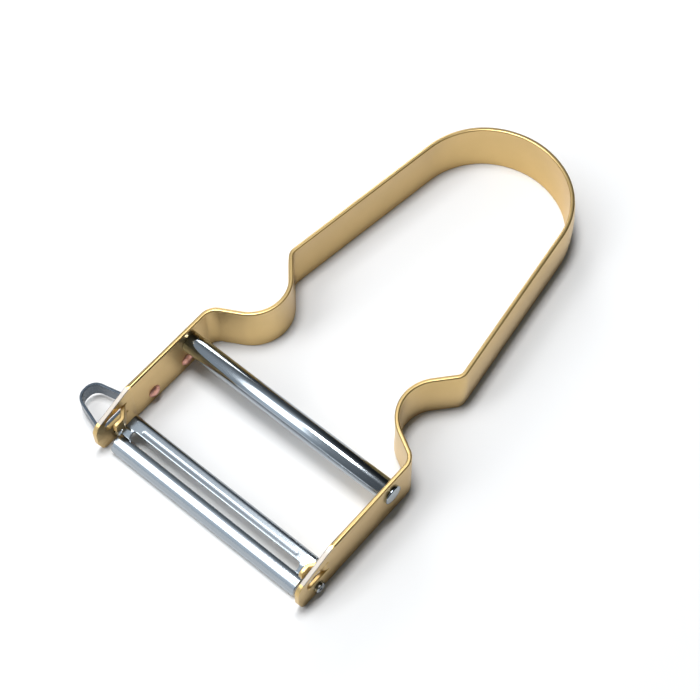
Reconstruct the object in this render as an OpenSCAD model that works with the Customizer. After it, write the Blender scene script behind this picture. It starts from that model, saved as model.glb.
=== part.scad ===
// Vegetable peeler: a bent strip frame with a swivelling slotted blade, a crossbar and an eye remover.
// X runs across the arms, Y from the blade to the handle loop, Z up from the surface it lies on.

/* [Frame] */
// Length from the arm tips to the end of the handle loop
overall_l = 111; // [106:1:118]
// Width over the outer faces of the two arms
frame_w = 54.5; // [53:0.5:57]
// Width of the strip, which is the height of the lying peeler
strip_w = 12.5; // [12:0.25:14]
// Thickness of the strip
strip_t = 1; // [0.9:0.05:1.1]
// Outside radius of the handle loop
loop_r = 18.5; // [17.5:0.25:19.5]
// Inward lean of each side of the handle, in degrees
flank_lean = 7.5; // [6:0.5:9]
// Width over the waist between the arms and the handle
waist_w = 34.6; // [33:0.2:36]
// Distance from the arm tips to the middle of the waist
waist_y = 45.2; // [44:0.2:47]
// Radius of the finger hollow on each side of the waist
waist_r = 8; // [7:0.25:9]
// Turn of the strip from the arm into the waist, in degrees
shoulder_turn = 61; // [57:1:64]
// Turn of the strip from the waist out to the handle, in degrees
flare_turn = 41.5; // [38:0.5:45]
// Inside radius of the bend between arm and waist
shoulder_r = 3; // [2:0.25:4]
// Inside radius of the bend between waist and handle
flare_r = 2; // [1.5:0.25:3]

/* [Arm tips] */
// Length of the sloping upper edge at each arm tip
taper_l = 10.2; // [9:0.2:11.5]
// Height of the arm where the slope meets the tip
nose_h = 9; // [8.75:0.25:10]
// Radius of the upper corner of the tip
nose_r = 2.6; // [1.8:0.2:3]
// Height at which the tip starts to slant back
chin_h = 3.6; // [3:0.2:4]
// Distance that the lower corner lies behind the tip
chin_back = 1.2; // [0.8:0.2:1.6]
// Radius of the bend above the slanted lower front
chin_r = 3; // [2:0.5:4]
// Radius of the lower corner of the tip
heel_r = 1.2; // [0.8:0.2:1.6]

/* [Stop lugs] */
// Distance from the arm tips to the root of each lug
lug_root = 8.6; // [8.4:0.1:9]
// Distance from the arm tips to the free end of each lug
lug_front = 3.6; // [3.4:0.1:3.8]
// Length of the end of the lug that runs parallel to the arm
lug_pad = 2.4; // [2.2:0.1:2.5]
// Distance that the lug is pressed inwards
lug_reach = 2.15; // [2:0.05:2.25]
// Height of the lower edge of the lug
lug_low = 5.6; // [5.55:0.05:5.7]
// Height of the upper edge of the lug
lug_high = 8.4; // [8.2:0.1:8.6]
// Corner radius of the free end of the lug
lug_end_r = 1; // [0.8:0.1:1.2]
// Middle radius of the two bends in the lug
lug_bend_r = 1; // [0.8:0.1:1.2]
// Gap between the lug's edges and the window that it is pressed out of
lug_gap = 0.3; // [0.2:0.05:0.35]

/* [Blade] */
// Distance from the arm tips to the blade pivot
pivot_y = 5.7; // [5.6:0.1:5.8]
// Height of the blade pivot
pivot_z = 2.6; // [2.55:0.05:2.7]
// Tilt of the blade in the pose shown, front edge down, in degrees
blade_tilt = 34; // [30:1:34]
// Gap between each end of the blade's sheet and its arm
blade_gap = 1.85; // [1.8:0.05:1.95]
// Thickness of the blade's sheet
blade_t = 0.7; // [0.6:0.05:0.75]
// Outside radius of the rolled front rail
rail_r = 2.5; // [2.3:0.05:2.55]
// Distance from the pivot forward to the front rail's centre
rail_ahead = 2.13; // [2.1:0.05:2.2]
// Height of the front rail's centre over the pivot, square to the blade
rail_lift = 0.2; // [0.15:0.05:0.25]
// Angle of the front rail's lip at the slot, from the blade's plane, in degrees
lip_angle = 33; // [28:1:38]
// Angle of the front rail's front rim, from the blade's plane, in degrees
rim_angle = 174; // [168:1:176]
// Distance from the pivot back to the outside of the rear rim
rear_reach = 4.8; // [4.6:0.1:4.9]
// Height of the rear rim's corner over the pivot, square to the blade
rear_lift = 1.3; // [1.25:0.05:1.35]
// Depth of the turned-down rear rim
rear_drop = 0.9; // [0.8:0.1:1]
// Middle radius of the bend at the rear rim
rear_bend_r = 0.7; // [0.6:0.05:0.8]
// Slope of the rear rail in the blade's own plane, in degrees
rear_slope = 6.8; // [6:0.2:7]
// Distance from the pivot back to the cutting edge
edge_back = 1.96; // [1.9:0.05:2.1]
// Length of sheet at each end of the slot that the peel goes through
slot_end = 2.1; // [1.9:0.05:2.4]
// Corner radius of the slot
slot_corner_r = 0.5; // [0.3:0.1:0.6]
// Length of unground cutting edge at each end of the slot
bevel_end = 1.65; // [1.3:0.05:2.3]
// Width of the ground bevel
bevel_w = 1.28; // [1.1:0.02:1.4]
// Thickness of the sheet that the bevel leaves at the cutting edge
edge_t = 0.2; // [0.15:0.05:0.3]
// Corner radius of the blade's four corners, seen from above
blade_corner_r = 0.8; // [0.5:0.1:1]
// Diameter of the journals that the blade swivels on
journal_d = 2.4; // [2.3:0.05:2.5]
// Distance that each journal stands out of its arm
journal_run = 0.8; // [0.75:0.05:1]
// Radial play of the journals in the arms
journal_play = 0.08; // [0.06:0.01:0.1]
// Radius of each neck where it leaves the blade
neck_root_r = 1.9; // [1.8:0.05:2]
// Radius of each neck where it meets the arm
neck_tip_r = 1.5; // [1.45:0.05:1.6]
// Side play between each neck and its arm
neck_play = 0.15; // [0.1:0.05:0.2]
// Width of the seam across the end of each rolled journal
seam_w = 0.25; // [0.2:0.05:0.3]

/* [Crossbar] */
// Diameter of the crossbar
bar_d = 4.6; // [4.4:0.1:4.8]
// Distance from the arm tips to the crossbar
bar_y = 27.8; // [27.2:0.2:28.4]
// Height of the crossbar's axis
bar_z = 8.4; // [8.2:0.1:8.8]
// Diameter of the tenons through the arms
tenon_d = 3; // [2.8:0.1:3.2]
// Diameter of the domed heads outside the arms
bar_head_d = 4.3; // [4.1:0.1:4.5]
// Height of the domed heads
bar_head_h = 0.7; // [0.6:0.05:0.75]

/* [Eye remover] */
// Thickness of the eye remover's strip
eye_t = 0.6; // [0.5:0.05:0.65]
// Height of the lower edge of the loop
eye_low = 1.4; // [1.2:0.1:1.6]
// Height of the upper edge of the loop and its base
eye_high = 5.1; // [5:0.1:5.2]
// Height of the lower edge of the base, which takes the blade's journal
eye_base_low = 0.6; // [0.4:0.1:0.7]
// Distance that the loop stands out from the arm
eye_reach = 9.7; // [9.2:0.1:10.2]
// Distance from the arm tips to the front leg at the arm
eye_toe_y = 2.2; // [2:0.1:2.3]
// Distance from the arm tips to the rear leg at the arm
eye_heel_y = 11.5; // [11.2:0.1:12]
// Distance from the arm tips to the front corner of the loop's nose
eye_nose_front_y = 4.95; // [4.8:0.05:5.1]
// Distance from the arm tips to the rear corner of the loop's nose
eye_nose_rear_y = 9.45; // [9.3:0.05:9.7]
// Middle radius of the nose's two corners
eye_nose_r = 2.6; // [2.3:0.1:2.7]
// Middle radius of the bends where the legs meet the arm
eye_foot_r = 0.9; // [0.7:0.1:1]
// Length of strip behind the rear rivet
eye_tail = 2.3; // [2:0.1:2.6]

/* [Rivets] */
// Diameter of the rivets' shanks
rivet_d = 2; // [1.8:0.1:2.2]
// Diameter of the rivets' heads
rivet_head_d = 3; // [2.8:0.1:3.2]
// Height of the rivets' heads
rivet_head_h = 0.9; // [0.7:0.05:1]
// Height of the rivets' axes
rivet_z = 3.2; // [3:0.1:3.3]
// Distance from the arm tips to the front rivet
front_rivet_y = 16.4; // [16:0.2:17]
// Distance from the arm tips to the rear rivet
rear_rivet_y = 26.2; // [25.8:0.2:26.4]

/* [Hidden] */
$fn = 64;
// Angle between neighbouring points on a bend, in degrees
bend_step = 4;
// Overrun of every cut
cut = 1;
// Radial play of the riveted shanks and tenons
shank_play = 0.02;
gold = [0.78, 0.66, 0.42];
steel = [0.80, 0.82, 0.84];
dark_steel = [0.42, 0.47, 0.53];
copper = [0.78, 0.47, 0.38];

// The middle line of the frame: right half, from the arm's tip to the top of the loop
arm_x = (frame_w - strip_t) / 2;
arm_in = frame_w / 2 - strip_t;
flank = 90 + flank_lean;
into_waist = 90 + shoulder_turn;
out_of_waist = 90 - flare_turn;
loop_mid_r = loop_r - strip_t / 2;
apex = [0, overall_l - loop_r + loop_mid_r / sin(flank_lean)];
waist_mid_r = waist_r + strip_t / 2;
waist_half_turn = (shoulder_turn + flare_turn) / 2;
waist = [waist_w / 2 + waist_r, waist_y]
    + waist_mid_r / cos(waist_half_turn) * unit((into_waist + out_of_waist) / 2 + 90);
shoulder = meet(waist, into_waist, [arm_x, 0], 90);
flare = meet(waist, out_of_waist, apex, flank);
half_path = [
    [arm_x, 0, 0],
    corner(shoulder, shoulder_r + strip_t / 2),
    corner(waist, waist_mid_r),
    corner(flare, flare_r + strip_t / 2)
];
frame_path = concat(half_path, [corner(apex, loop_mid_r)], mirrored(half_path));

// The eye remover's layers on the left arm's outer face: the front leg's inside, the rear leg's outside
eye_in_x = -frame_w / 2 - eye_t / 2;
eye_out_x = eye_in_x - eye_t;
eye_nose_x = -frame_w / 2 - eye_reach + eye_t / 2;
eye_base_y = eye_toe_y + 1.5 * eye_foot_r;
eye_end_y = rear_rivet_y + eye_tail;
eye_stack = 2 * eye_t;

// The blade fills the space between the arms, and its slot and ground bevel follow its length
blade_l = 2 * (arm_in - blade_gap);
slot_l = blade_l - 2 * slot_end;
bevel_l = slot_l - 2 * bevel_end;

// The blade's rear rail slopes from the rear rim's corner down to the front rail
rear_mid = rear_reach - blade_t / 2;
rail_mid_r = rail_r - blade_t / 2;
rear_plate_l = rear_mid + rail_ahead / 2;

// Half the difference of the reach on the two sides, which centres the whole
right_reach = frame_w / 2 + max(journal_run, bar_head_h);
left_reach = frame_w / 2 + eye_reach;
shift = [(left_reach - right_reach) / 2, -overall_l / 2, 0];

function unit(a) = [cos(a), sin(a)];
function corner(p, r) = [p[0], p[1], r];
function flat(p) = [p[0], p[1]];
function heading(p, q) = atan2(q[1] - p[1], q[0] - p[0]);
// Signed turn from one heading to another, left turns positive
function turn(a, b) = (b - a + 540) % 360 - 180;
// Point where the line through p with heading a meets the line through q with heading b
function meet(p, a, q, b) = p + unit(a) * cross(q - p, unit(b)) / cross(unit(a), unit(b));
function mirrored(path) = [for (i = [len(path) - 1:-1:0]) [-path[i][0], path[i][1], path[i][2]]];
function reversed(list) = [for (i = [len(list) - 1:-1:0]) list[i]];
// Points of an arc about c, from angle a0 to a1
function arc(c, r, a0, a1) =
    let (n = max(1, ceil(abs(a1 - a0) / bend_step)))
    [for (i = [0:n]) c + r * unit(a0 + (a1 - a0) * i / n)];
// Points of the bend at q, at the given distance to the right of the line from p over q to s
function bend(p, q, s, side) =
    let (a = heading(p, q), d = turn(a, heading(q, s)), way = sign(d),
        c = flat(q) + q[2] / cos(d / 2) * unit(a + d / 2 + 90 * way))
    arc(c, q[2] + way * side, a - 90 * way, a + d - 90 * way);
function side_start(path, side) = flat(path[0]) + side * unit(heading(path[0], path[1]) - 90);
function side_end(path, side) =
    let (n = len(path)) flat(path[n - 1]) + side * unit(heading(path[n - 2], path[n - 1]) - 90);
// One side of a bent line, at the given distance to its right
function bent_side(path, side) = concat(
    [side_start(path, side)],
    [for (i = [1:len(path) - 2]) each bend(path[i - 1], path[i], path[i + 1], side)],
    [side_end(path, side)]);
// Outline of a sheet of thickness t bent along a path of corners with middle radii
function bent_sheet(path, t) = concat(bent_side(path, t / 2), reversed(bent_side(path, -t / 2)));
// Closed outline whose corners are rounded by the third value of each
function rounded(corners) =
    let (n = len(corners))
    [for (i = [0:n - 1])
        each (corners[i][2] > 0
            ? bend(corners[(i + n - 1) % n], corners[i], corners[(i + 1) % n], 0)
            : [flat(corners[i])])];

module placed() translate(shift) children();
// Turns a drawing of the side view, Y to the right and Z up, into a solid that runs along X
module along_x(x0, x1) translate([x0, 0, 0]) rotate([90, 0, 90]) linear_extrude(x1 - x0) children();
module rod_x(x0, x1, d, y, z) translate([x0, y, z]) rotate([0, 90, 0]) cylinder(h = x1 - x0, d = d);
// Low dome on the plane X = 0 that bulges towards +X
module dome_x(d, h) {
    ball = (d * d / 4 + h * h) / (2 * h);
    rotate([0, 90, 0]) rotate_extrude() intersection() {
        translate([0, h - ball]) circle(ball);
        square([d / 2, h]);
    }
}
// The same on the arms' two sides
module both_sides() {
    children();
    mirror([1, 0, 0]) children();
}

// Side outline of a lug or its window, grown by a gap, with rounded corners at the free end
module lug_outline(gap, root, front) polygon(rounded([
    [root, lug_low - gap, 0], [root, lug_high + gap, 0],
    [front, lug_high + gap, lug_end_r + gap], [front, lug_low - gap, lug_end_r + gap]]));

// Everything in front of the tip's outline, seen from the side
module tip_waste() polygon(concat(
    [[taper_l, -cut], [taper_l, 0]],
    bend([taper_l, 0], [chin_back, 0, heel_r], [0, chin_h], 0),
    bend([chin_back, 0], [0, chin_h, chin_r], [0, nose_h], 0),
    bend([0, chin_h], [0, nose_h, nose_r], [taper_l, strip_w], 0),
    [[taper_l, strip_w], [taper_l, strip_w + cut], [-cut, strip_w + cut], [-cut, -cut]]));

// Tongue pressed inwards from the right arm
module lug() {
    pad_x = arm_x - lug_reach;
    root_y = lug_root + strip_t;
    intersection() {
        linear_extrude(strip_w) polygon(bent_sheet([
            [pad_x, lug_front, 0], [pad_x, lug_front + lug_pad, lug_bend_r],
            [arm_x, lug_root, lug_bend_r], [arm_x, root_y, 0]], strip_t));
        along_x(pad_x - strip_t, frame_w / 2 + cut) lug_outline(0, root_y + cut, lug_front);
    }
}

module lug_window() along_x(arm_in - cut, frame_w / 2 + cut)
    lug_outline(lug_gap, lug_root, lug_front - lug_reach / 4);

module frame() color(gold) placed() {
    difference() {
        linear_extrude(strip_w) polygon(bent_sheet(frame_path, strip_t));
        along_x(-frame_w, frame_w) tip_waste();
        both_sides() lug_window();
        rod_x(-frame_w, frame_w, journal_d + 2 * journal_play, pivot_y, pivot_z);
        rod_x(-frame_w, frame_w, tenon_d + 2 * shank_play, bar_y, bar_z);
        for (y = [front_rivet_y, rear_rivet_y])
            rod_x(-frame_w, 0, rivet_d + 2 * shank_play, y, rivet_z);
    }
    both_sides() lug();
}

module crossbar() color(steel) placed() {
    rod_x(-arm_in, arm_in, bar_d, bar_y, bar_z);
    rod_x(-frame_w / 2, frame_w / 2, tenon_d, bar_y, bar_z);
    both_sides() translate([frame_w / 2, bar_y, bar_z]) dome_x(bar_head_d, bar_head_h);
}

// The blade is drawn about its pivot, with Y to the rear in its own plane and Z square to it
module blade_bodies() {
    plate_end = [rear_mid, rear_lift] + rear_plate_l * unit(180 - rear_slope);
    difference() {
        union() {
            along_x(-blade_l / 2, blade_l / 2) front_rail_section();
            difference() {
                along_x(-blade_l / 2, blade_l / 2) polygon(bent_sheet([
                    [rear_mid, rear_lift - rear_drop, 0], [rear_mid, rear_lift, rear_bend_r],
                    corner(plate_end, 0)], blade_t));
                slot();
                bevel();
            }
        }
        corner_waste();
    }
}

module front_rail_section() polygon(concat(
    arc([-rail_ahead, rail_lift], rail_r, lip_angle, rim_angle),
    arc([-rail_ahead, rail_lift], rail_r - blade_t, rim_angle, lip_angle)));

// Height of the rear rail's upper face at a distance behind the pivot
function rear_top(back) = rear_lift + (rear_mid - back) * tan(rear_slope) + blade_t / 2 / cos(rear_slope);

module slot() linear_extrude(rear_reach + cut) polygon(rounded([
    [-slot_l / 2, edge_back, slot_corner_r], [-slot_l / 2, -rail_ahead, 0],
    [slot_l / 2, -rail_ahead, 0], [slot_l / 2, edge_back, slot_corner_r]]));

module bevel() along_x(-bevel_l / 2, bevel_l / 2) polygon([
    [edge_back + bevel_w, rear_top(edge_back + bevel_w)],
    [edge_back, rear_top(edge_back) - blade_t + edge_t],
    [edge_back - cut, rear_top(edge_back) - blade_t],
    [edge_back - cut, rear_top(edge_back) + cut],
    [edge_back + bevel_w, rear_top(edge_back) + cut]]);

// Rounds the blade's four corners, seen square to its plane
module corner_waste() translate([0, 0, -rail_r - cut]) linear_extrude(2 * (rail_r + cut)) difference() {
    square([blade_l + 2 * cut, 2 * (rear_reach + cut)], center = true);
    polygon(rounded([
        [-blade_l / 2, rear_reach, blade_corner_r], [blade_l / 2, rear_reach, blade_corner_r],
        [blade_l / 2, -rail_ahead - rail_r, blade_corner_r],
        [-blade_l / 2, -rail_ahead - rail_r, blade_corner_r]]));
}

// Neck and rolled journal at the blade's right end
module journal() {
    neck_end = arm_in - neck_play;
    neck_start = (slot_l + blade_l) / 4;
    journal_end = frame_w / 2 + journal_run;
    translate([neck_start, 0, 0]) rotate([0, 90, 0])
        cylinder(h = neck_end - neck_start, r1 = neck_root_r, r2 = neck_tip_r);
    difference() {
        rod_x(neck_start, journal_end, journal_d, 0, 0);
        translate([journal_end - journal_run / 2, 0, -seam_w / 2]) cube([journal_run, journal_d, seam_w]);
    }
}

module blade() color(steel) placed() translate([0, pivot_y, pivot_z]) rotate([blade_tilt, 0, 0]) {
    blade_bodies();
    both_sides() journal();
}

module eye_remover() color(dark_steel) placed() difference() {
    union() {
        translate([0, 0, eye_low]) linear_extrude(eye_high - eye_low) polygon(bent_sheet([
            [eye_out_x, eye_end_y, 0], [eye_out_x, eye_heel_y, eye_foot_r],
            [eye_nose_x, eye_nose_rear_y, eye_nose_r], [eye_nose_x, eye_nose_front_y, eye_nose_r],
            [eye_in_x, eye_toe_y, eye_foot_r], [eye_in_x, (eye_toe_y + eye_heel_y) / 2, 0]], eye_t));
        translate([eye_in_x - eye_t / 2, eye_base_y, eye_base_low])
            cube([eye_t, eye_end_y - eye_base_y, eye_high - eye_base_low]);
    }
    rod_x(-left_reach, 0, journal_d + 4 * journal_play, pivot_y, pivot_z);
    for (y = [front_rivet_y, rear_rivet_y]) rod_x(-left_reach, 0, rivet_d + 2 * shank_play, y, rivet_z);
}

// Rivet through the left arm and both layers of the eye remover
module rivet(y) color(copper) placed() translate([-frame_w / 2, y, rivet_z]) {
    rod_x(-eye_stack, strip_t, rivet_d, 0, 0);
    translate([strip_t, 0, 0]) dome_x(rivet_head_d, rivet_head_h);
    translate([-eye_stack, 0, 0]) mirror([1, 0, 0]) dome_x(rivet_head_d, rivet_head_h);
}

module front_rivet() rivet(front_rivet_y);
module rear_rivet() rivet(rear_rivet_y);

frame();
crossbar();
blade();
eye_remover();
front_rivet();
rear_rivet();
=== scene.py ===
"""Vegetable peeler: a bent strip frame, a swivelling slotted blade, a crossbar, an eye remover and rivets.

Sizes are in millimetres and in the drawing's own place: X across the arms, Y from the arm tips to the
handle loop, Z up from the table. Each piece is moved to the frame's place and made metres when it is done.
"""

import logging
import math
from dataclasses import dataclass
from enum import Enum
from typing import Callable, Optional, Sequence

import bmesh
import bpy
from mathutils import Matrix, Vector


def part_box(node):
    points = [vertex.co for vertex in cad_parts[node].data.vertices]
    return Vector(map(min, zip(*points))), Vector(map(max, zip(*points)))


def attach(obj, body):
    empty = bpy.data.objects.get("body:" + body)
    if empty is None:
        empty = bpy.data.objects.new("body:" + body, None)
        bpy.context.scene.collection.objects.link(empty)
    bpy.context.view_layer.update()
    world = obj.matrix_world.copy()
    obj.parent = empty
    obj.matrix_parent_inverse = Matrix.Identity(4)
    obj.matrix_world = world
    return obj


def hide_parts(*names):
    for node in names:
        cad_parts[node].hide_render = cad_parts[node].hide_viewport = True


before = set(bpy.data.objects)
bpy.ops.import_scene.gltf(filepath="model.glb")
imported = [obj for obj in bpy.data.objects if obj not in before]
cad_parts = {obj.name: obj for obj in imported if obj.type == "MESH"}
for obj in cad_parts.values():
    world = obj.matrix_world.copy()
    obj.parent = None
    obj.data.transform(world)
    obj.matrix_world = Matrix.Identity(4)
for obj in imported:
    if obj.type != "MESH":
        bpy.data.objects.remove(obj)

LOG = logging.getLogger("peeler")
METRES = 0.001
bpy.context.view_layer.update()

SAME_PLACE = 1e-4
SEAM_REACH = 1e-3
SEAM_GAP = 0.01
SMALLEST_TURN = 1e-9
FLAT_NORMAL = 0.7
CORNER_STEPS = 8
HOLE_STEPS = 32
RIM_STEPS = 2
HALVINGS = 40
CREASE = math.radians(40)

PIVOT = (5.7, 2.6)
ARM_INSIDE = 26.25
ARM_OUTSIDE = 27.25

GRAIN_SCALE = 3000.0
GRAIN_DETAIL = 3.0
MOTTLE_SCALE = 180.0
MOTTLE_DETAIL = 2.0
BUMP_HEIGHT = 0.00002
COOL_TINT = (0.96, 1.0, 1.04)

Corner = tuple[float, float, float]
Test = Callable[[Vector], bool]


class Slot(Enum):
    """The record's material slots."""

    GOLD = "gold_aluminium"
    ROD = "polished_steel"
    BLADE = "blade_steel"
    DARK = "dark_steel"
    COPPER = "copper"


class Body(Enum):
    """The bodies that pieces ride on."""

    FRAME = "frame"
    BLADE = "blade"


def unit(angle: float) -> Vector:
    """Unit vector at an angle in radians."""
    return Vector((math.cos(angle), math.sin(angle)))


def meet(first: Vector, first_angle: float, second: Vector, second_angle: float) -> Vector:
    """Finds where two lines cross.

    Args:
        first: A point of the first line.
        first_angle: The first line's direction in radians.
        second: A point of the second line.
        second_angle: The second line's direction in radians.

    Returns:
        The point that both lines share.
    """
    along = unit(first_angle)
    across = unit(second_angle)
    gap = second - first
    return first + along * (gap.cross(across) / along.cross(across))


def eased(value: float) -> float:
    """Clamps a value to 0 to 1 and eases both ends."""
    value = min(1.0, max(0.0, value))
    return value * value * (3 - 2 * value)


@dataclass(frozen=True)
class Leg:
    """One straight or one arc of a bent line."""

    start: Vector
    heading: float
    length: float
    turn: float = 0.0

    def at(self, distance: float) -> tuple[Vector, float]:
        """Finds a place on the leg.

        Args:
            distance: Distance from the leg's start.

        Returns:
            The point and the heading there.
        """
        turned = self.turn * distance / self.length
        chord = distance
        if abs(turned) > SMALLEST_TURN:
            chord = 2 * distance / turned * math.sin(turned / 2)
        return self.start + unit(self.heading + turned / 2) * chord, self.heading + turned


class BentLine:
    """Middle line of a bent sheet: straights with an arc at every inner corner."""

    def __init__(self, corners: Sequence[Corner]) -> None:
        """Lays the legs out.

        Args:
            corners: X, Y and the middle radius of the bend at each corner.
        """
        self.legs: list[Leg] = []
        place = Vector(corners[0][:2])
        for before, here, after in zip(corners, corners[1:], corners[2:]):
            into = Vector(here[:2]) - Vector(before[:2])
            out = Vector(after[:2]) - Vector(here[:2])
            heading = math.atan2(into.y, into.x)
            turn = math.atan2(into.cross(out), into.dot(out))
            reach = here[2] * math.tan(abs(turn) / 2)
            bend_start = Vector(here[:2]) - unit(heading) * reach
            self.legs.append(Leg(place, heading, (bend_start - place).length))
            if reach > 0:
                self.legs.append(Leg(bend_start, heading, here[2] * abs(turn), turn))
            place = Vector(here[:2]) + unit(heading + turn) * reach
        last = Vector(corners[-1][:2]) - place
        self.legs.append(Leg(place, math.atan2(last.y, last.x), last.length))
        self.length = sum(leg.length for leg in self.legs)

    def at(self, run: float) -> tuple[Vector, Vector]:
        """Finds a place on the line.

        Args:
            run: Distance along the line from its start.

        Returns:
            The point and the unit vector to the line's right.
        """
        for leg in self.legs[:-1]:
            if run <= leg.length:
                break
            run -= leg.length
        else:
            leg = self.legs[-1]
        point, heading = leg.at(run)
        return point, unit(heading - math.pi / 2)

    def stations(self, start: float, end: float, step: float) -> list[float]:
        """Lists the runs at which a sheet needs a line of points to bend.

        Args:
            start: Run to begin after.
            end: Run to stop before.
            step: Largest turn between two stations, in degrees.

        Returns:
            The runs in rising order.
        """
        runs: list[float] = []
        reached = 0.0
        for leg in self.legs:
            if leg.turn:
                count = math.ceil(abs(math.degrees(leg.turn)) / step)
                runs += [reached + leg.length * i / count for i in range(count + 1)]
            reached += leg.length
        return [run for run in runs if start + SAME_PLACE < run < end - SAME_PLACE]


class Sheet:
    """A flat blank in bmesh that is cut out, thickened, rounded, painted and pressed to shape.

    The blank lies in the XY plane, its thickness centred on it.
    """

    def __init__(self) -> None:
        """Starts an empty blank."""
        self.bm = bmesh.new()

    def outline(self, corners: Sequence[Corner]) -> None:
        """Draws a closed outline with rounded corners.

        Args:
            corners: X, Y and radius of each corner.
        """
        count = len(corners)
        points = [Vector((x, y, 0)) for x, y, _ in corners]
        verts = [self.bm.verts.new(point) for point in points]
        for i in range(count):
            self.bm.edges.new((verts[i], verts[(i + 1) % count]))
        for i, (_, _, radius) in enumerate(corners):
            if radius > 0:
                opening = (points[i - 1] - points[i]).angle(points[(i + 1) % count] - points[i])
                bmesh.ops.bevel(
                    self.bm,
                    geom=[verts[i]],
                    offset=radius / math.tan(opening / 2),
                    offset_type="ABSOLUTE",
                    segments=CORNER_STEPS,
                    profile=0.5,
                    affect="VERTICES",
                    clamp_overlap=False,
                    material=-1,
                )

    def hole(self, x: float, y: float, diameter: float) -> None:
        """Draws a round hole."""
        bmesh.ops.create_circle(
            self.bm, segments=HOLE_STEPS, radius=diameter / 2, matrix=Matrix.Translation((x, y, 0))
        )

    def fill(self) -> None:
        """Fills the outlines, leaving their holes."""
        bmesh.ops.triangle_fill(self.bm, use_beauty=True, edges=self.bm.edges[:], normal=(0, 0, 1))

    def extend(self, run: float, stations: Sequence[float]) -> None:
        """Draws out the edge of the sheet at one run, station by station.

        Args:
            run: Run of the edge that is drawn out.
            stations: The runs that it is drawn to in turn.
        """
        edges = [
            edge
            for edge in self.bm.edges
            if edge.is_boundary and all(abs(vert.co.x - run) < SAME_PLACE for vert in edge.verts)
        ]
        for station in stations:
            made = bmesh.ops.extrude_edge_only(self.bm, edges=edges)["geom"]
            verts = [item for item in made if isinstance(item, bmesh.types.BMVert)]
            edges = [
                item
                for item in made
                if isinstance(item, bmesh.types.BMEdge) and all(v in verts for v in item.verts)
            ]
            for vert in verts:
                vert.co.x = station

    def thicken(self, thickness: float) -> None:
        """Gives the sheet its thickness, half to each side.

        Args:
            thickness: Distance between the sheet's two faces.
        """
        bmesh.ops.recalc_face_normals(self.bm, faces=self.bm.faces[:])
        made = bmesh.ops.extrude_face_region(self.bm, geom=self.bm.faces[:])["geom"]
        upper = [item for item in made if isinstance(item, bmesh.types.BMVert)]
        bmesh.ops.translate(self.bm, verts=self.bm.verts[:], vec=(0, 0, -thickness / 2))
        bmesh.ops.translate(self.bm, verts=upper, vec=(0, 0, thickness))
        bmesh.ops.recalc_face_normals(self.bm, faces=self.bm.faces[:])

    def open_end(self, run: float) -> None:
        """Takes the faces off one end of the sheet, so that its mirrored half can join there.

        Args:
            run: Run of the end.
        """
        faces = [
            face
            for face in self.bm.faces
            if all(abs(vert.co.x - run) < SEAM_REACH for vert in face.verts)
        ]
        bmesh.ops.delete(self.bm, geom=faces, context="FACES")

    def round_rims(
        self, radius: float, segments: int, where: Optional[Test] = None, crisp: bool = True
    ) -> None:
        """Rounds the edges between the sheet's faces and its rims.

        Args:
            radius: Radius of the rounding.
            segments: Facets across it.
            where: Test of an edge's middle, or None for every rim.
            crisp: Whether the shading breaks where the rounding starts.
        """
        self.bm.normal_update()
        rims = []
        for edge in self.bm.edges:
            if len(edge.link_faces) == 2:
                flat = [abs(face.normal.z) > FLAT_NORMAL for face in edge.link_faces]
                middle = (edge.verts[0].co + edge.verts[1].co) / 2
                if flat[0] != flat[1] and (where is None or where(middle)):
                    rims.append(edge)
        made = bmesh.ops.bevel(
            self.bm,
            geom=rims,
            offset=radius,
            offset_type="OFFSET",
            segments=segments,
            profile=0.5,
            affect="EDGES",
            clamp_overlap=False,
            loop_slide=False,
            material=-1,
        )
        rounded = set(made["faces"]) if crisp else set()
        for face in rounded:
            for edge in face.edges:
                if any(other not in rounded for other in edge.link_faces):
                    edge.smooth = False

    def cut(self, lines: Sequence[float], axis: int, where: Optional[Test] = None) -> None:
        """Cuts lines across the sheet, so that it can bend there.

        Args:
            lines: Places of the lines along the axis.
            axis: 0 for lines at one X, 1 for lines at one Y.
            where: Test of a face's middle, or None for every face.
        """
        normal = Vector((0, 0, 0))
        normal[axis] = 1
        for line in lines:
            faces = [f for f in self.bm.faces if where is None or where(f.calc_center_median())]
            edges = dict.fromkeys(edge for face in faces for edge in face.edges)
            verts = dict.fromkeys(vert for face in faces for vert in face.verts)
            bmesh.ops.bisect_plane(
                self.bm, geom=[*verts, *edges, *faces], plane_co=normal * line, plane_no=normal
            )

    def paint(self, index: int, where: Test) -> None:
        """Gives a finish to the faces whose middle passes a test.

        Args:
            index: Index of the finish among the piece's materials.
            where: Test of a face's middle.
        """
        for face in self.bm.faces:
            if where(face.calc_center_median()):
                face.material_index = index

    def press(self, place: Callable[[Vector], Vector]) -> None:
        """Moves every point of the blank to its place in the bent piece."""
        for vert in self.bm.verts:
            vert.co = place(vert.co)


def merged(bm: bmesh.types.BMesh) -> None:
    """Merges doubles and turns every face outwards."""
    bmesh.ops.remove_doubles(bm, verts=bm.verts[:], dist=SAME_PLACE)
    bmesh.ops.recalc_face_normals(bm, faces=bm.faces[:])


def lathe(profile: Sequence[tuple[float, float]], steps: int = 48) -> bmesh.types.BMesh:
    """Spins a profile about the X axis.

    Args:
        profile: Distance along X and radius of each point, with both ends on the axis.
        steps: Facets round the axis.

    Returns:
        A bmesh of the closed solid.
    """
    bm = bmesh.new()
    verts = [bm.verts.new((x, radius, 0)) for x, radius in profile]
    edges = [bm.edges.new(pair) for pair in zip(verts, verts[1:])]
    bmesh.ops.spin(
        bm,
        geom=[*verts, *edges],
        cent=(0, 0, 0),
        axis=(1, 0, 0),
        angle=2 * math.pi,
        steps=steps,
        use_merge=True,
    )
    merged(bm)
    return bm


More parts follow.
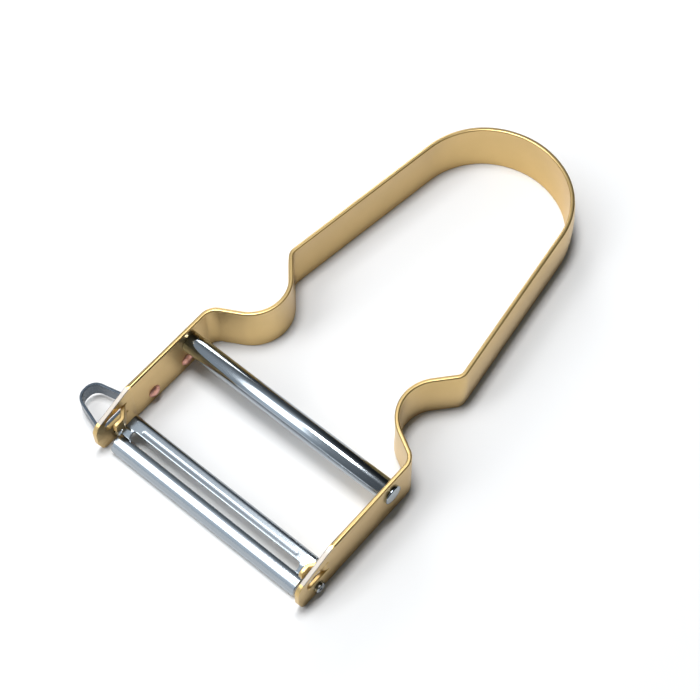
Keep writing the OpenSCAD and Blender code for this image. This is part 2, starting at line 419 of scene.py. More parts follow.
@dataclass(frozen=True)
class Metal:
    """A metal finish: fine grain in its gloss and bump, and soft mottling between two tones."""

    name: str
    colour: tuple[float, float, float]
    tone: tuple[float, float, float]
    roughness: float
    rough_range: float = 0.08
    bump: float = 0.15
    metallic: float = 1.0

    def made(self) -> bpy.types.Material:
        """Builds the material.

        Returns:
            A material of procedural nodes on Object coordinates.
        """
        material = bpy.data.materials.new(self.name)
        material.use_nodes = True
        nodes = material.node_tree.nodes
        link = material.node_tree.links.new
        shader = nodes["Principled BSDF"]
        shader.inputs["Metallic"].default_value = self.metallic
        place = nodes.new("ShaderNodeTexCoord")
        grain = nodes.new("ShaderNodeTexNoise")
        grain.inputs["Scale"].default_value = GRAIN_SCALE
        grain.inputs["Detail"].default_value = GRAIN_DETAIL
        link(place.outputs["Object"], grain.inputs["Vector"])
        mottle = nodes.new("ShaderNodeTexNoise")
        mottle.inputs["Scale"].default_value = MOTTLE_SCALE
        mottle.inputs["Detail"].default_value = MOTTLE_DETAIL
        link(place.outputs["Object"], mottle.inputs["Vector"])
        spread = nodes.new("ShaderNodeMapRange")
        spread.inputs["To Min"].default_value = self.roughness - self.rough_range / 2
        spread.inputs["To Max"].default_value = self.roughness + self.rough_range / 2
        link(grain.outputs["Fac"], spread.inputs["Value"])
        link(spread.outputs["Result"], shader.inputs["Roughness"])
        mix = nodes.new("ShaderNodeMix")
        mix.data_type = "RGBA"
        mix.inputs["A"].default_value = (*self.colour, 1)
        mix.inputs["B"].default_value = (*self.tone, 1)
        link(mottle.outputs["Fac"], mix.inputs["Factor"])
        link(mix.outputs["Result"], shader.inputs["Base Color"])
        bump = nodes.new("ShaderNodeBump")
        bump.inputs["Strength"].default_value = self.bump
        bump.inputs["Distance"].default_value = BUMP_HEIGHT
        link(grain.outputs["Fac"], bump.inputs["Height"])
        link(bump.outputs["Normal"], shader.inputs["Normal"])
        return material


GOLD = Metal("satin_gold", (0.68, 0.485, 0.215), (0.62, 0.44, 0.19), 0.32, bump=0.03)
SHEARED = Metal("sheared_edge", (0.42, 0.385, 0.345), (0.37, 0.335, 0.295), 0.45, bump=0.08)
ROD_STEEL = Metal("polished_steel", (0.36, 0.40, 0.435), (0.34, 0.38, 0.415), 0.14, 0.02, bump=0.004)
BLADE_STEEL = Metal("blade_steel", (0.365, 0.40, 0.43), (0.345, 0.38, 0.41), 0.16, 0.02, bump=0.004)
DARK_STEEL = Metal("dark_steel", (0.11, 0.135, 0.165), (0.08, 0.10, 0.125), 0.28, metallic=0.9)
COPPER = Metal("copper", (0.78, 0.42, 0.34), (0.68, 0.34, 0.27), 0.36, bump=0.06)


@dataclass
class Place:
    """Where the drawing's origin lies in the frame that every piece shares."""

    shift: Vector

    @classmethod
    def of_frame(cls) -> "Place":
        """Reads the place from the frame node's box."""
        low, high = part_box("frame")
        return cls(Vector(((low.x + high.x) / 2, low.y, low.z)))

    def piece(
        self,
        name: str,
        bm: bmesh.types.BMesh,
        metals: Sequence[bpy.types.Material],
        body: Body,
        slot: Slot,
        nodes: Sequence[str],
    ) -> None:
        """Makes a finished piece of a bmesh in millimetres, with its object at the origin.

        Args:
            name: Name of the piece.
            bm: The shape, which is freed.
            metals: Materials by index.
            body: The body that it rides on.
            slot: The record's slot for the piece's finish. Not used.
            nodes: The CAD nodes that it stands for.
        """
        bmesh.ops.scale(bm, vec=(METRES, METRES, METRES), verts=bm.verts[:])
        bmesh.ops.translate(bm, vec=self.shift, verts=bm.verts[:])
        bm.normal_update()
        for face in bm.faces:
            face.smooth = True
        for edge in bm.edges:
            if edge.is_manifold and edge.calc_face_angle() > CREASE:
                edge.smooth = False
        mesh = bpy.data.meshes.new(name)
        bm.to_mesh(mesh)
        open_edges = sum(1 for edge in bm.edges if not edge.is_manifold)
        bm.free()
        for metal in metals:
            mesh.materials.append(metal)
        piece = bpy.data.objects.new(name, mesh)
        bpy.context.scene.collection.objects.link(piece)
        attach(piece, body.value)
        if nodes:
            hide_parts(*nodes)
        LOG.info("%s: %d faces, %d open edges", name, len(mesh.polygons), open_edges)


@dataclass
class StripFrame:
    """The frame: one strip that makes the arms, the waist and the handle loop."""

    length: float = 111.0
    width: float = 54.5
    height: float = 12.5
    thickness: float = 1.0
    loop_radius: float = 18.5
    flank_lean: float = 7.5
    waist_width: float = 34.6
    waist_y: float = 45.2
    waist_radius: float = 8.0
    shoulder_turn: float = 61.0
    flare_turn: float = 41.5
    shoulder_radius: float = 3.0
    flare_radius: float = 2.0
    taper: float = 10.2
    tip_plate: float = 11.0
    tip_toe: Corner = (1.2, 0, 1.2)
    tip_nose: Corner = (0, 3.6, 3.0)
    tip_brow: Corner = (0, 9.0, 2.6)
    tip_round: float = 0.12
    sheared_start: float = 1.9
    sheared_low: float = 8.9
    pivot: tuple[float, float] = PIVOT
    bore: float = 2.56
    bore_reach: float = 1.4
    bore_round: float = 0.1
    lug_root: float = 8.9
    lug_front: float = 3.6
    lug_reach: float = 2.15
    lug_low: float = 5.6
    lug_high: float = 8.4
    lug_corner: float = 1.0
    lug_stem: float = 0.5
    lug_pad: float = 2.4
    lug_bend: float = 1.0
    lug_bend_step: float = 5.0
    lug_round: float = 0.22
    lug_rim_steps: int = 3
    window_front: float = 2.76
    window_corner: float = 1.3
    gap: float = 0.3
    margin: float = 0.1
    rim_radius: float = 0.32
    rim_steps: int = 5
    bend_step: float = 2.5
    rows: int = 10
    first_row: float = 0.12
    bow: float = 0.4
    bow_start: float = 40.0
    bow_blend: float = 12.0
    bow_level: float = 0.5
    apex_reach: float = 16.0

    @property
    def middle_x(self) -> float:
        """X of the right arm's middle plane."""
        return (self.width - self.thickness) / 2

    def line(self) -> BentLine:
        """Lays out the strip's middle line from the right tip round to the left.

        Returns:
            The bent line.
        """
        flank = math.radians(90 + self.flank_lean)
        into = math.radians(90 + self.shoulder_turn)
        out = math.radians(90 - self.flare_turn)
        half_turn = (into - out) / 2
        mid_radius = self.waist_radius + self.thickness / 2
        hollow = Vector((self.waist_width / 2 + self.waist_radius, self.waist_y))
        waist = hollow + unit((into + out) / 2 + math.pi / 2) * (mid_radius / math.cos(half_turn))
        loop = self.loop_radius - self.thickness / 2
        rise = loop / math.sin(math.radians(self.flank_lean))
        apex = Vector((0, self.length - self.loop_radius + rise))
        shoulder = meet(waist, into, Vector((self.middle_x, 0)), math.pi / 2)
        flare = meet(waist, out, apex, flank)
        half: list[Corner] = [
            (self.middle_x, 0, 0),
            (*shoulder, self.shoulder_radius + self.thickness / 2),
            (*waist, mid_radius),
            (*flare, self.flare_radius + self.thickness / 2),
        ]
        left = [(-x, y, radius) for x, y, radius in reversed(half)]
        return BentLine([*half, (*apex, loop), *left])

    def tongue(self) -> BentLine:
        """Lays out the lug's middle line from its root to its free end.

        Returns:
            The bent line.
        """
        pad = self.middle_x - self.lug_reach
        return BentLine(
            [
                (self.middle_x, self.lug_root, 0),
                (self.middle_x, self.lug_root - self.lug_stem, self.lug_bend),
                (pad, self.lug_front + self.lug_pad, self.lug_bend),
                (pad, self.lug_front, 0),
            ]
        )

    def in_tongue(self, point: Vector) -> bool:
        """Tells whether a point of the blank is in the lug."""
        sides = self.lug_low - self.gap / 2 < point.y < self.lug_high + self.gap / 2
        return sides and self.lug_front - self.gap / 3 < point.x < self.lug_root

    def around_tongue(self, point: Vector) -> bool:
        """Tells whether a point of the blank is at the lug or its window."""
        reach = self.gap + self.margin
        level = self.lug_low - reach < point.y < self.lug_high + reach
        return level and self.window_front - self.margin < point.x < self.lug_root + self.margin

    def near_bore(self, point: Vector) -> bool:
        """Tells whether a point of the blank is at the journal's bore."""
        return (point - Vector((*self.pivot, point.z))).length < self.bore_reach

    def at_tip_rim(self, point: Vector) -> bool:
        """Tells whether a point of the blank is at the tip plate's outer rim."""
        inner = self.around_tongue(point) or self.near_bore(point)
        return not inner and point.x < self.tip_plate

    def tip(self) -> Sheet:
        """Cuts out the flat tip plate with its lug, window and bore.

        Returns:
            The plate, with no thickness yet.
        """
        sheet = Sheet()
        sheet.outline(
            [
                self.tip_toe,
                self.tip_nose,
                self.tip_brow,
                (self.taper, self.height, 0),
                (self.tip_plate, self.height, 0),
                (self.tip_plate, 0, 0),
            ]
        )
        low = self.lug_low - self.gap
        high = self.lug_high + self.gap
        sheet.outline(
            [
                (self.lug_root, self.lug_high, 0),
                (self.lug_front, self.lug_high, self.lug_corner),
                (self.lug_front, self.lug_low, self.lug_corner),
                (self.lug_root, self.lug_low, 0),
                (self.lug_root, low, 0),
                (self.window_front, low, self.window_corner),
                (self.window_front, high, self.window_corner),
                (self.lug_root, high, 0),
            ]
        )
        sheet.hole(*self.pivot, self.bore)
        sheet.fill()
        return sheet

    def blank(self, line: BentLine) -> Sheet:
        """Cuts the right half of the strip as a flat blank.

        Args:
            line: The strip's middle line.

        Returns:
            The blank, with its run along X and its height along Y.
        """
        half = line.length / 2
        sheet = self.tip()
        stations = line.stations(self.tip_plate, half, self.bend_step)
        sheet.extend(self.tip_plate, [*stations, half])
        sheet.thicken(self.thickness)
        sheet.round_rims(self.bore_round, RIM_STEPS, self.near_bore)
        sheet.round_rims(self.lug_round, self.lug_rim_steps, self.around_tongue)
        sheet.round_rims(self.tip_round, RIM_STEPS, self.at_tip_rim)
        sheet.round_rims(
            self.rim_radius,
            self.rim_steps,
            lambda p: self.tip_plate < p.x < half - SEAM_GAP,
            crisp=False,
        )
        sheet.open_end(half)
        inset = self.rim_radius + self.first_row
        step = (self.height - 2 * inset) / self.rows
        levels = [inset + i * step for i in range(self.rows + 1)]
        sheet.cut(levels, 1, lambda p: p.x > self.tip_plate)
        slope = (self.height - self.tip_brow[1]) / self.taper
        sheet.paint(
            1,
            lambda p: self.sheared_start < p.x < self.taper and p.y > self.sheared_low + p.x * slope,
        )
        sheet.cut([self.lug_root], 0)
        lug_line = self.tongue()
        fit = (self.lug_root - self.lug_front) / lug_line.length
        runs = lug_line.stations(0, lug_line.length, self.lug_bend_step)
        sheet.cut([self.lug_root - run * fit for run in runs], 0, self.in_tongue)
        return sheet

    def build(self, place: Place) -> None:
        """Bends, mirrors and places the strip.

        Args:
            place: Where the drawing's origin lies.
        """
        line = self.line()
        lug_line = self.tongue()
        sheet = self.blank(line)
        fit = lug_line.length / (self.lug_root - self.lug_front)

        def bent(point: Vector) -> Vector:
            """Bends the strip or its lug at one point.

            Args:
                point: A point of the flat blank.

            Returns:
                Its place in the bent strip.
            """
            if self.in_tongue(point):
                middle, right = lug_line.at((self.lug_root - point.x) * fit)
                right = -right
            else:
                middle, right = line.at(point.x)
            level = 2 * point.y / self.height - 1
            share = eased((point.x - self.bow_start) / self.bow_blend)
            apex = eased((point.x - line.length / 2 + self.apex_reach) / self.bow_blend)
            out = self.bow * share * (self.bow_level * (1 - apex) - level * level)
            return Vector((*(middle + right * (point.z + out)), point.y))

        sheet.press(bent)
        bmesh.ops.mirror(
            sheet.bm,
            geom=[*sheet.bm.verts, *sheet.bm.edges, *sheet.bm.faces],
            axis="X",
            merge_dist=SEAM_REACH,
        )
        merged(sheet.bm)
        metals = [GOLD.made(), SHEARED.made()]
        place.piece("strip_frame", sheet.bm, metals, Body.FRAME, Slot.GOLD, ["frame"])


@dataclass
class Crossbar:
    """The rod between the arms, with a low-crowned head on each tenon outside them."""

    radius: float = 2.3
    y: float = 27.8
    z: float = 8.4
    arm_inside: float = ARM_INSIDE
    arm_outside: float = ARM_OUTSIDE
    tenon_radius: float = 1.5
    head_radius: float = 2.15
    head_height: float = 0.7
    head_foot: tuple[float, float] = (0.1, 0.05)
    crown: tuple[tuple[float, float], ...] = ((0.22, 0.0), (0.12, 0.07), (0.07, 0.25), (0.03, 0.85))
    edge: float = 0.2
    edge_share: float = 0.3

    def build(self, place: Place) -> None:
        """Spins the rod and places it.

        Args:
            place: Where the drawing's origin lies.
        """
        inside = self.arm_inside
        middle = self.edge_share * self.edge
        half = [
            (inside - self.edge, self.radius),
            (inside - middle, self.radius - middle),
            (inside, self.radius - self.edge),
            (inside, self.tenon_radius),
            (self.arm_outside, self.tenon_radius),
            *self.head(),
        ]
        left = [(-x, radius) for x, radius in reversed(half)]
        bm = lathe([*left, *half])
        bmesh.ops.translate(bm, vec=(0, self.y, self.z), verts=bm.verts[:])
        place.piece("crossbar_rod", bm, [ROD_STEEL.made()], Body.FRAME, Slot.ROD, ["crossbar"])

    def head(self) -> list[tuple[float, float]]:
        """Draws the profile of a head with a rounded rim and a low crown.

        Returns:
            Profile points from the rim to the axis.
        """
        rim = self.head_radius
        top = self.arm_outside + self.head_height
        rise, inset = self.head_foot
        return [
            (self.arm_outside, rim - inset),
            (self.arm_outside + rise, rim),
            *[(top - down, rim - inward) for down, inward in self.crown],
            (top, 0),
        ]


@dataclass
class EyeRemover:
    """The small steel loop at the left arm, bent from one strip with two layers on the arm."""

    thickness: float = 0.6
    arm_face: float = ARM_OUTSIDE
    reach: float = 9.7
    low: float = 1.4
    high: float = 5.1
    base_low: float = 0.6
    base_start: float = 1.5
    step_front: tuple[float, float] = (0.3, 0.2)
    step_rear: tuple[float, float] = (0.9, 0.5)
    end_radius: float = 0.6
    rim_round: float = 0.12
    toe_y: float = 2.2
    heel_y: float = 11.5
    nose_front_y: float = 4.95
    nose_rear_y: float = 9.45
    nose_radius: float = 2.6
    foot_radius: float = 0.9
    end_y: float = 28.5
    bend_step: float = 4.0
    pivot: tuple[float, float] = PIVOT
    bore: float = 2.72

    def line(self) -> BentLine:
        """Lays out the strip's middle line from the outer layer's end round to the inner layer's.

        Returns:
            The bent line.
        """
        inner = -self.arm_face - self.thickness / 2
        outer = inner - self.thickness
        nose = -self.arm_face - self.reach + self.thickness / 2
        return BentLine(
            [
                (outer, self.end_y, 0),
                (outer, self.heel_y, self.foot_radius),
                (nose, self.nose_rear_y, self.nose_radius),
                (nose, self.nose_front_y, self.nose_radius),
                (inner, self.toe_y, self.foot_radius),
                (inner, self.end_y, 0),
            ]
        )

    def build(self, place: Place) -> None:
        """Cuts, bends and places the strip.

        Args:
            place: Where the drawing's origin lies.
        """
        line = self.line()
        end = line.length
        base = end - (self.end_y - self.toe_y) + self.base_start
        pivot_run = end - (self.end_y - self.pivot[0])
        front, front_radius = self.step_front
        rear, rear_radius = self.step_rear
        sheet = Sheet()
        sheet.outline(
            [
                (base, self.high, 0),
                (base, self.low, 0),
                (base + front, self.low, front_radius),
                (base + rear, self.base_low, rear_radius),
                (end, self.base_low, self.end_radius),
                (end, self.high, self.end_radius),
            ]
        )
        sheet.hole(pivot_run, self.pivot[1], self.bore)
        sheet.fill()
        stations = line.stations(0, base, self.bend_step)
        sheet.extend(base, [*reversed(stations), 0])
        sheet.thicken(self.thickness)
        sheet.round_rims(self.rim_round, RIM_STEPS)

        def bent(point: Vector) -> Vector:
            """Finds the place in the bent strip of a point of the flat blank."""
            middle, right = line.at(point.x)
            return Vector((*(middle + right * point.z), point.y))

        sheet.press(bent)
        merged(sheet.bm)
        metals = [DARK_STEEL.made()]
        place.piece("eye_loop", sheet.bm, metals, Body.FRAME, Slot.DARK, ["eye_remover"])


@dataclass
class Rivet:
    """A copper rivet through the left arm and both layers of the eye remover."""

    name: str
    node: str
    y: float
    z: float = 3.2
    shank_radius: float = 1.0
    head_radius: float = 1.5
    head_height: float = 0.8
    head_edge: float = 0.12
    dome_steps: int = 6
    facets: int = 32
    outside: float = 28.45
    inside: float = ARM_INSIDE

    def build(self, place: Place, metal: bpy.types.Material) -> None:
        """Spins the rivet and places it.

        Args:
            place: Where the drawing's origin lies.
            metal: The copper that both rivets share.
        """
        outer = [(-x, radius) for x, radius in reversed(self.head(self.outside))]
        inner = self.head(-self.inside)
        shank = [(-self.outside, self.shank_radius), (-self.inside, self.shank_radius)]
        bm = lathe([*outer, *shank, *inner], self.facets)
        bmesh.ops.translate(bm, vec=(0, self.y, self.z), verts=bm.verts[:])
        place.piece(self.name, bm, [metal], Body.FRAME, Slot.COPPER, [self.node])

    def head(self, base: float) -> list[tuple[float, float]]:
        """Draws the profile of one low domed head that bulges towards +X.

        Args:
            base: X of the plane that it sits on.

        Returns:
            Profile points from the rim to the axis.
        """
        radius = self.head_radius
        rise = self.head_height - self.head_edge
        ball = (radius * radius + rise * rise) / (2 * rise)
        half = math.asin(radius / ball)
        top = base + self.head_edge + rise
        angles = [half * (1 - i / self.dome_steps) for i in range(self.dome_steps + 1)]
        tops = [(top - ball * (1 - math.cos(a)), ball * math.sin(a)) for a in angles]
        return [(base, radius), *tops]


@dataclass
class SlottedBlade:
    """The swivelling blade: a slotted sheet with a rolled front rail, and a rolled journal at each end.

    Its sheet is drawn about the pivot, with Y to the rear in the blade's plane and Z square to it.
    """

    pivot: tuple[float, float] = PIVOT
    tilt: float = 34.0
    half_length: float = 24.4
    thickness: float = 0.7
    rear_corner: float = 0.7
    front_corner: float = 1.1
    rim_round: float = 0.14
    bend_step: float = 5.0
    rail_radius: float = 2.5
    rail_centre: tuple[float, float] = (-2.13, 0.2)
    lip_angle: float = 33.0
    rim_angle: float = 174.0
    rail_start: float = 36.0
    valley_reach: float = 0.35
    valley_bend: float = 0.5
    fold_back: float = 1.75
    rear: float = 4.11
    rear_lift: float = 0.32
    rear_drop: float = 0.9
    rear_bend: float = 0.7
    rear_slope: float = 30.0
    edge_back: float = 1.96
    search_start: float = 0.5
    slot_half: float = 22.3
    slot_rear_corner: float = 0.8
    slot_front_corner: float = 1.0
    slot_columns: tuple[float, ...] = (1.1, 0.8, 0.5, 0.2, 0.0)
    end_columns: int = 6
    lip_row: float = 0.2
    lip_reach: float = 0.3
    lip_inset: float = 0.1
    lip_blend: float = 1.3
    groove_half: float = 20.8
    groove_back: float = 2.72
    groove_width: float = 1.1
    groove_depth: float = 0.035
    groove_end: float = 0.5
    groove_columns: int = 5
    groove_rows: int = 14
    end_droop: float = 0.07
    droop_start: float = 22.0
    droop_past: float = 0.8
    droop_blend: float = 0.9
    journal_outer: tuple[tuple[float, float], ...] = (
        (23.4, 1.1),
        (24.2, 1.25),
        (25.2, 1.38),
        (25.9, 1.38),
        (26.1, 1.2),
        (27.9, 1.2),
        (28.05, 1.05),
    )
    journal_inner: tuple[tuple[float, float], ...] = ((28.05, 0.55), (27.9, 0.45), (23.4, 0.45))
    journal_seam: float = 9.0
    journal_facets: int = 40

    def section(self) -> BentLine:
        """Lays out the section at the blade's ends, from the rear rim to the front rim.

        Returns:
            The bent line in Y and Z.
        """
        centre = Vector(self.rail_centre)
        middle = self.rail_radius - self.thickness / 2
        begin = math.radians(self.rail_start)
        rim = math.radians(self.rim_angle)
        corner = Vector((self.rear, self.rear_lift - self.end_droop))
        slope = math.tan(math.radians(self.rear_slope))
        fold = corner + Vector((self.fold_back - self.rear, (self.rear - self.fold_back) * slope))
        start = centre + unit(begin) * middle
        end = centre + unit(rim) * middle
        valley = start - unit(begin + math.pi / 2) * self.valley_reach
        crown = meet(start, begin + math.pi / 2, end, rim + math.pi / 2)
        return BentLine(
            [
                (self.rear, corner.y - self.rear_drop, 0),
                (*corner, self.rear_bend),
                (*fold, self.valley_bend),
                (*valley, self.valley_bend),
                (*crown, middle),
                (*end, 0),
            ]
        )

    def build(self, place: Place) -> None:
        """Cuts, presses and places the blade's sheet and its journals.

        Args:
            place: Where the drawing's origin lies.
        """
        metals = [BLADE_STEEL.made()]
        turn = Matrix.Rotation(math.radians(self.tilt), 4, "X")
        turn.translation = Vector((0, *self.pivot))
        sheet = self.pressed_sheet()
        bmesh.ops.transform(sheet.bm, matrix=turn, verts=sheet.bm.verts[:])
        place.piece("blade_sheet", sheet.bm, metals, Body.BLADE, Slot.BLADE, ["blade"])
        for side, name in ((1, "right_journal"), (-1, "left_journal")):
            bm = self.journal(side)
            bmesh.ops.transform(bm, matrix=turn, verts=bm.verts[:])
            place.piece(name, bm, metals, Body.BLADE, Slot.BLADE, [])

    def blank(self, line: BentLine, edge_run: float, lip_run: float) -> Sheet:
        """Cuts the flat blank, its slot and the lines that it bends at.

        Args:
            line: The blade's section.
            edge_run: Run of the slot's rear edge.
            lip_run: Run of the slot's front edge.

        Returns:
            The blank, with the blade's length along X and the section's run along Y.
        """
        end = self.half_length
        half = self.slot_half
        total = line.length
        sheet = Sheet()
        sheet.outline(
            [
                (-end, 0, self.rear_corner),
                (end, 0, self.rear_corner),
                (end, total, self.front_corner),
                (-end, total, self.front_corner),
            ]
        )
        sheet.outline(
            [
                (-half, edge_run, self.slot_rear_corner),
                (half, edge_run, self.slot_rear_corner),
                (half, lip_run, self.slot_front_corner),
                (-half, lip_run, self.slot_front_corner),
            ]
        )
        sheet.fill()
        sheet.thicken(self.thickness)
        sheet.round_rims(self.rim_round, RIM_STEPS)
        count = self.groove_columns
        ends = [self.groove_half - self.groove_end * i / count for i in range(count + 1)]
        ends += [half - inward for inward in self.slot_columns]
        ends += [half + (end - half) * i / self.end_columns for i in range(1, self.end_columns)]
        sheet.cut([side * x for side in (-1, 1) for x in ends], 0)
        step = self.groove_width / self.groove_rows
        reach = self.groove_rows // 2
        backs = [self.groove_back + i * step for i in range(-reach, reach + 1)]
        rows = [self.run_behind(line, back) for back in backs]
        sheet.cut([*line.stations(0, total, self.bend_step), *rows, lip_run + self.lip_row], 1)
        return sheet

    def pressed_sheet(self) -> Sheet:
        """Cuts the blank and presses it to the blade's section.

        Returns:
            The pressed sheet in the blade's own place.
        """
        line = self.section()
        middle = self.rail_radius - self.thickness / 2
        total = line.length
        rim = math.radians(self.rim_angle)
        lip_run = total - middle * (rim - math.radians(self.lip_angle))
        edge_run = self.run_behind(line, self.edge_back)
        crease_run = self.run_behind(line, self.fold_back)
        sheet = self.blank(line, edge_run, lip_run)
        end = self.half_length
        half = self.slot_half
        centre = Vector(self.rail_centre)

        def pressed(point: Vector) -> Vector:
            """Presses the groove, the drooping ends and the slot's raised lip at one point.

            Args:
                point: A point of the flat blank.

            Returns:
                Its place in the pressed sheet.
            """
            spot, right = line.at(point.y)
            off = abs(spot.x - self.groove_back) / (self.groove_width / 2)
            depth = self.groove_depth * (1 + math.cos(math.pi * min(off, 1))) / 2
            depth *= eased((self.groove_half - abs(point.x)) / self.groove_end)
            across = point.z - (depth if point.y < edge_run else 0)
            place = spot + right * across
            droop = max(0.0, (abs(point.x) - self.droop_start) / (end - self.droop_start))
            lift = self.end_droop * (1 - droop * droop)
            place.y += lift * eased((crease_run + self.droop_past - point.y) / self.droop_blend)
            if point.y > lip_run - self.lip_reach:
                angle = rim - (total - point.y) / middle
                lip = centre + unit(angle) * (middle + across)
                share = eased((half - self.lip_inset - abs(point.x)) / self.lip_blend)
                place = place.lerp(lip, share)
            return Vector((point.x, *place))

        sheet.press(pressed)
        merged(sheet.bm)
        return sheet

    def run_behind(self, line: BentLine, back: float) -> float:
        """Finds the run at which the section lies a given distance behind the pivot.

        Args:
            line: The blade's section.
            back: Distance behind the pivot.

        Returns:
            The run along the section.
        """
        low = self.search_start
        high = line.length
        for _ in range(HALVINGS):
            run = (low + high) / 2
            if line.at(run)[0].x > back:
                low = run
            else:
                high = run
        return low

    def journal(self, side: int) -> bmesh.types.BMesh:
        """Rolls one neck and journal, with the seam of the rolled sheet towards the rear.

        Args:
            side: 1 for the right end, -1 for the left.

        Returns:
            The journal in the blade's own place.
        """
        profile = [*self.journal_outer, *self.journal_inner]
        bm = bmesh.new()
        seam = math.radians(self.journal_seam)
        start = Matrix.Rotation(seam, 3, "X")
        verts = [bm.verts.new(start @ Vector((x * side, radius, 0))) for x, radius in profile]
        face = bm.faces.new(verts)
        bmesh.ops.spin(
            bm,
            geom=[face, *face.edges, *verts],
            cent=(0, 0, 0),
            axis=(1, 0, 0),
            angle=2 * math.pi - 2 * seam,
            steps=self.journal_facets,
        )
        merged(bm)
        return bm


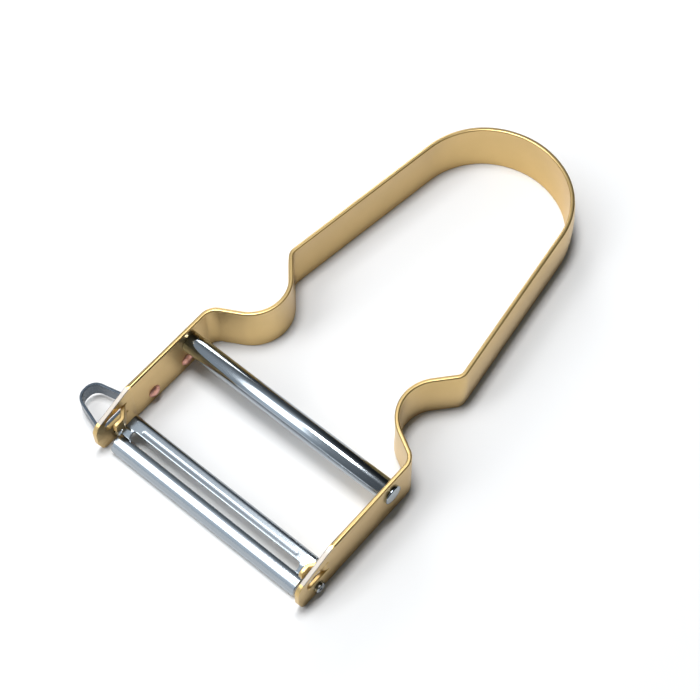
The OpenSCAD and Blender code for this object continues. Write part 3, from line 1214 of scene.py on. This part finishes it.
@dataclass
class Studio:
    """Pale floor, soft light and the camera at the photograph's angle."""

    camera_place: tuple[float, float, float] = (0.12864, -0.14896, 0.33858)
    azimuth: float = 41.40
    elevation: float = 60.40
    roll: float = -1.27
    focal: float = 1863.07
    image_width: float = 700.0
    sensor: float = 36.0
    clip_start: float = 0.01
    floor_size: float = 3.0
    floor_grey: float = 0.89
    floor_roughness: float = 0.9
    depth_stops: tuple[tuple[float, float], ...] = (
        (0.0, 0.95),
        (0.12, 1.2),
        (0.45, 1.1),
        (0.56, 0.85),
        (0.655, 0.50),
        (0.745, 0.32),
        (0.825, 0.18),
        (0.885, 0.09),
        (1.0, 0.09),
    )
    width_stops: tuple[tuple[float, float], ...] = (
        (0.0, 0.45),
        (0.24, 0.45),
        (0.3, 1.0),
        (0.37, 1.0),
        (0.43, 0.35),
        (0.55, 0.12),
        (1.0, 0.08),
    )

    def build(self) -> None:
        """Builds the whole studio."""
        self.floor()
        self.lamps()
        self.world()
        self.camera()
        bpy.context.scene.view_settings.view_transform = "Standard"

    def floor(self) -> None:
        """Lays a wide pale floor that keeps the object's shadow."""
        bm = bmesh.new()
        bmesh.ops.create_grid(bm, x_segments=1, y_segments=1, size=self.floor_size)
        mesh = bpy.data.meshes.new("floor")
        bm.to_mesh(mesh)
        bm.free()
        material = bpy.data.materials.new("floor_paper")
        material.use_nodes = True
        shader = material.node_tree.nodes["Principled BSDF"]
        shader.inputs["Base Color"].default_value = (*[self.floor_grey] * 3, 1)
        shader.inputs["Roughness"].default_value = self.floor_roughness
        shader.inputs["Specular IOR Level"].default_value = 0.0
        mesh.materials.append(material)
        floor = bpy.data.objects.new("floor", mesh)
        bpy.context.scene.collection.objects.link(floor)

    def lamps(self) -> None:
        """Hangs the main lamp over the object, a card to its left front and one to its left rear."""
        self.lamp(
            "main_lamp",
            towards=(-0.1, 0.0, 1.0),
            distance=0.84,
            along=(0, 1, 0),
            size=(0.16, 0.3),
            power=4.5,
        )
        self.lamp(
            "front_card",
            towards=(-0.37, -0.45, 0.81),
            distance=0.6,
            along=(0, -0.88, -0.48),
            size=(0.18, 0.56),
            power=1.2,
        )
        self.lamp(
            "rear_card",
            towards=(-0.7, 0.55, 0.5),
            distance=0.6,
            along=(0.6, 0.8, 0),
            size=(0.2, 0.2),
            power=0.8,
        )

    @staticmethod
    def lamp(
        name: str,
        towards: tuple[float, float, float],
        distance: float,
        along: tuple[float, float, float],
        size: tuple[float, float],
        power: float,
    ) -> None:
        """Hangs one soft lamp that faces the object.

        Args:
            name: Name of the lamp.
            towards: Direction from the object to the lamp.
            distance: Distance from the object, in metres.
            along: Direction of the lamp's long side.
            size: Width and length of its face, in metres.
            power: Its power in watts.
        """
        data = bpy.data.lights.new(name, "AREA")
        data.shape = "RECTANGLE"
        data.size, data.size_y = size
        data.energy = power
        back = Vector(towards).normalized()
        side = Vector(along).cross(back).normalized()
        turn = Matrix((side, back.cross(side), back)).transposed()
        lamp = bpy.data.objects.new(name, data)
        lamp.matrix_world = Matrix.Translation(back * distance) @ turn.to_4x4()
        bpy.context.scene.collection.objects.link(lamp)

    def world(self) -> None:
        """Makes the room's light: a bright band left of overhead, dim to the right and behind."""
        world = bpy.data.worlds.new("room")
        world.use_nodes = True
        nodes = world.node_tree.nodes
        link = world.node_tree.links.new
        place = nodes.new("ShaderNodeTexCoord")
        split = nodes.new("ShaderNodeSeparateXYZ")
        link(place.outputs["Generated"], split.inputs["Vector"])
        depth = self.ramp(nodes, self.depth_stops)
        width = self.ramp(nodes, self.width_stops)
        for ramp, axis in ((depth, "Y"), (width, "X")):
            half = nodes.new("ShaderNodeMapRange")
            half.inputs["From Min"].default_value = -1.0
            link(split.outputs[axis], half.inputs["Value"])
            link(half.outputs["Result"], ramp.inputs["Fac"])
        mix = nodes.new("ShaderNodeMix")
        mix.data_type = "RGBA"
        mix.blend_type = "MULTIPLY"
        mix.inputs["Factor"].default_value = 1.0
        link(depth.outputs["Color"], mix.inputs["A"])
        link(width.outputs["Color"], mix.inputs["B"])
        link(mix.outputs["Result"], nodes["Background"].inputs["Color"])
        nodes["Background"].inputs["Strength"].default_value = 1.0
        bpy.context.scene.world = world

    @staticmethod
    def ramp(nodes: bpy.types.Nodes, stops: Sequence[tuple[float, float]]) -> bpy.types.Node:
        """Makes a slightly cool grey ramp.

        Args:
            nodes: Nodes of the world.
            stops: Place from 0 to 1 and brightness of each stop, in rising order.

        Returns:
            The ramp's node.
        """
        node = nodes.new("ShaderNodeValToRGB")
        elements = node.color_ramp.elements
        while len(elements) < len(stops):
            elements.new(0.5)
        for element, (place, grey) in zip(elements, stops):
            element.position = place
            element.color = (*[grey * share for share in COOL_TINT], 1)
        return node

    def camera(self) -> None:
        """Sets the camera up."""
        azimuth = math.radians(self.azimuth)
        elevation = math.radians(self.elevation)
        away = math.cos(elevation)
        back = Vector((math.sin(azimuth) * away, -math.cos(azimuth) * away, math.sin(elevation)))
        data = bpy.data.cameras.new("camera")
        data.sensor_width = self.sensor
        data.lens = self.sensor * self.focal / self.image_width
        data.clip_start = self.clip_start
        camera = bpy.data.objects.new("camera", data)
        turn = back.to_track_quat("Z", "Y").to_matrix().to_4x4()
        roll = Matrix.Rotation(math.radians(self.roll), 4, "Z")
        camera.matrix_world = Matrix.Translation(self.camera_place) @ turn @ roll
        bpy.context.scene.collection.objects.link(camera)
        bpy.context.scene.camera = camera


def main() -> None:
    """Builds every sub-assembly and the studio."""
    logging.basicConfig(level=logging.INFO, format="%(name)s: %(message)s")
    place = Place.of_frame()
    StripFrame().build(place)
    Crossbar().build(place)
    EyeRemover().build(place)
    copper = COPPER.made()
    Rivet("front_copper_rivet", "front_rivet", y=16.4).build(place, copper)
    Rivet("rear_copper_rivet", "rear_rivet", y=26.2).build(place, copper)
    SlottedBlade().build(place)
    Studio().build()


if __name__ == "__main__":
    main()
